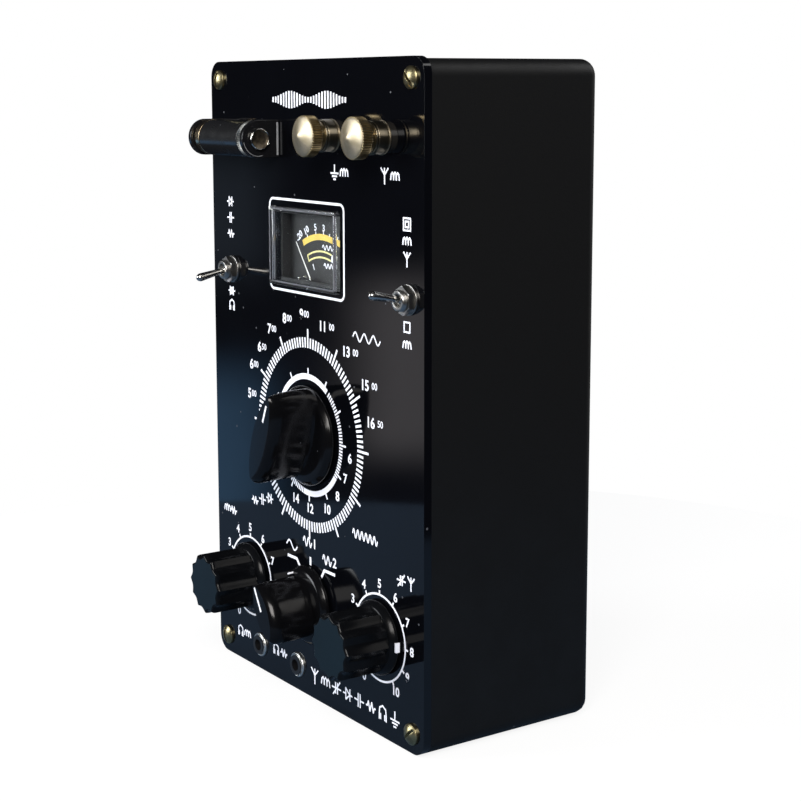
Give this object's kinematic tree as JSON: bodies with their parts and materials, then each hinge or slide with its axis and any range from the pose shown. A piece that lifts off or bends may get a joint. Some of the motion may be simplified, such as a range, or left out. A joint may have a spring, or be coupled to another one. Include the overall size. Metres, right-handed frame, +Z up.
{
  "type": "crystal radio",
  "caption": "Upright black instrument box with a crystal detector, tuning meter, binding posts, toggle switches, phone jacks and tuning, band and level knobs.",
  "frame": {"origin": "middle of the box's flat bottom, on the surface that it stands on", "axes": "+X to the right as seen from the front, +Y to the back, +Z up; the panel faces -Y"},
  "size_m": [0.114, 0.0773, 0.19],
  "materials": {
    "cabinet_black": "satin",
    "panel_black": "gloss",
    "knob_black": "semi-gloss",
    "screw_brass": "satin",
    "clear_plastic": "clear",
    "dark_plastic": "matte",
    "dial_black": "matte",
    "needle_white": "matte",
    "copper_wire": "enamelled",
    "magnet_steel": "matte",
    "shaft_steel": "turned",
    "vane_aluminium": "satin",
    "ceramic": "glazed",
    "frame_steel": "plated",
    "nut_chrome": "polished",
    "can_steel": "plated",
    "ivory_plastic": "gloss",
    "switch_metal": "plated",
    "post_brass": "satin",
    "post_black": "gloss",
    "fibre": "matte",
    "jack_black": "satin",
    "bracket_black": "gloss",
    "tube_black": "semi-gloss",
    "ferrule_brass": "satin",
    "eyelet_chrome": "polished",
    "galena": "crystalline",
    "ferrite": "matte",
    "former_paper": "matte",
    "clamp_plastic": "satin",
    "phenolic_board": "satin",
    "diode_glass": "clear",
    "core_steel": "matte"
  },
  "bodies": {
    "cabinet": {"case": "cabinet_black", "front_panel": "panel_black", "panel_screws": "screw_brass", "meter_cover": "clear_plastic", "meter_housing": "dark_plastic", "meter_dial": "dial_black", "meter_magnet": "magnet_steel", "tuning_stator": "vane_aluminium", "stator_insulators": "ceramic", "tuning_frame": "frame_steel", "tuning_nut": "nut_chrome", "attenuator_body": "can_steel", "attenuator_nut": "nut_chrome", "band_switch_body": "can_steel", "band_nut": "nut_chrome", "antenna_capacitor": "ivory_plastic", "antenna_nut": "nut_chrome", "left_switch_body": "switch_metal", "left_switch_nut": "nut_chrome", "right_switch_body": "switch_metal", "right_switch_nut": "nut_chrome", "ground_post_bush": "post_black", "ground_post_stem": "post_brass", "antenna_post_bush": "post_black", "antenna_post_stem": "post_brass", "post_rear_washers": "fibre", "post_rear_nuts": "post_brass", "jack_bodies": "jack_black", "jack_nuts": "nut_chrome", "detector_brackets": "bracket_black", "bracket_screws": "shaft_steel", "ferrite_rod": "ferrite", "coil_formers": "former_paper", "coil_windings": "copper_wire", "coil_clamps": "clamp_plastic", "tag_board": "phenolic_board", "diode": "diode_glass", "output_transformer": "core_steel"},
    "tuning": {"tuning_knob": "knob_black", "tuning_shaft": "shaft_steel", "tuning_rotor": "vane_aluminium"},
    "attenuator": {"attenuator_knob": "knob_black", "attenuator_shaft": "shaft_steel"},
    "band_selector": {"band_knob": "knob_black", "band_shaft": "shaft_steel"},
    "antenna_trimmer": {"antenna_knob": "knob_black", "antenna_shaft": "shaft_steel"},
    "left_lever": {"left_switch_lever": "nut_chrome"},
    "right_lever": {"right_switch_lever": "nut_chrome"},
    "needle": {"meter_needle": "needle_white", "meter_coil": "copper_wire"},
    "ground_clamp": {"ground_post_washer": "post_brass"},
    "ground_nut": {"ground_post_nut": "post_brass"},
    "antenna_clamp": {"antenna_post_washer": "post_brass"},
    "antenna_post_cap": {"antenna_post_nut": "post_brass"},
    "detector": {"detector_tube": "tube_black", "detector_ferrules": "ferrule_brass", "detector_eyelet": "eyelet_chrome", "crystal_cup": "galena", "cat_whisker": "ferrule_brass"}
  },
  "joints": [
    {"name": "tuning_turn", "type": "hinge", "parent": "cabinet", "child": "tuning", "pos_m": [-0.001, -0.03, 0.0805], "axis": [0, -1, 0], "range_deg": [-67, 113]},
    {"name": "attenuator_turn", "type": "hinge", "parent": "cabinet", "child": "attenuator", "pos_m": [-0.0365, -0.03, 0.029], "axis": [0, -1, 0], "range_deg": [-210, 90]},
    {"name": "band_turn", "type": "hinge", "parent": "cabinet", "child": "band_selector", "pos_m": [-0.001, -0.03, 0.029], "axis": [0, -1, 0], "range_deg": [-60, 0]},
    {"name": "antenna_turn", "type": "hinge", "parent": "cabinet", "child": "antenna_trimmer", "pos_m": [0.0355, -0.03, 0.029], "axis": [0, -1, 0], "range_deg": [-60, 240]},
    {"name": "left_switch_throw", "type": "hinge", "parent": "cabinet", "child": "left_lever", "pos_m": [-0.045, -0.032, 0.126], "axis": [1, 0, 0], "range_deg": [-23, 0]},
    {"name": "right_switch_throw", "type": "hinge", "parent": "cabinet", "child": "right_lever", "pos_m": [0.0502, -0.032, 0.126], "axis": [1, 0, 0], "range_deg": [0, 23]},
    {"name": "needle_swing", "type": "hinge", "parent": "cabinet", "child": "needle", "pos_m": [-0.0015, -0.03, 0.1222], "axis": [0, -1, 0], "range_deg": [-73.4, 0], "stiffness_Nm_per_rad": 0.0001},
    {"name": "ground_clamp_lift", "type": "slide", "parent": "cabinet", "child": "ground_clamp", "axis": [0, -1, 0], "range_m": [0, 0.003]},
    {"name": "ground_nut_turn", "type": "hinge", "parent": "ground_clamp", "child": "ground_nut", "pos_m": [0.0165, -0.03, 0.1687], "axis": [0, -1, 0], "range_deg": [0, 1540]},
    {"name": "antenna_clamp_lift", "type": "slide", "parent": "cabinet", "child": "antenna_clamp", "axis": [0, -1, 0], "range_m": [0, 0.003]},
    {"name": "antenna_nut_turn", "type": "hinge", "parent": "antenna_clamp", "child": "antenna_post_cap", "pos_m": [0.041, -0.03, 0.1687], "axis": [0, -1, 0], "range_deg": [0, 1540]},
    {"name": "detector_turn", "type": "hinge", "parent": "cabinet", "child": "detector", "pos_m": [-0.03265, -0.0371, 0.1671], "axis": [1, 0, 0], "continuous": true}
  ],
  "couplings": [
    {"joint": "ground_clamp_lift", "follows": "ground_nut_turn", "m_per_rad": 0.00011141},
    {"joint": "antenna_clamp_lift", "follows": "antenna_nut_turn", "m_per_rad": 0.00011141}
  ]
}
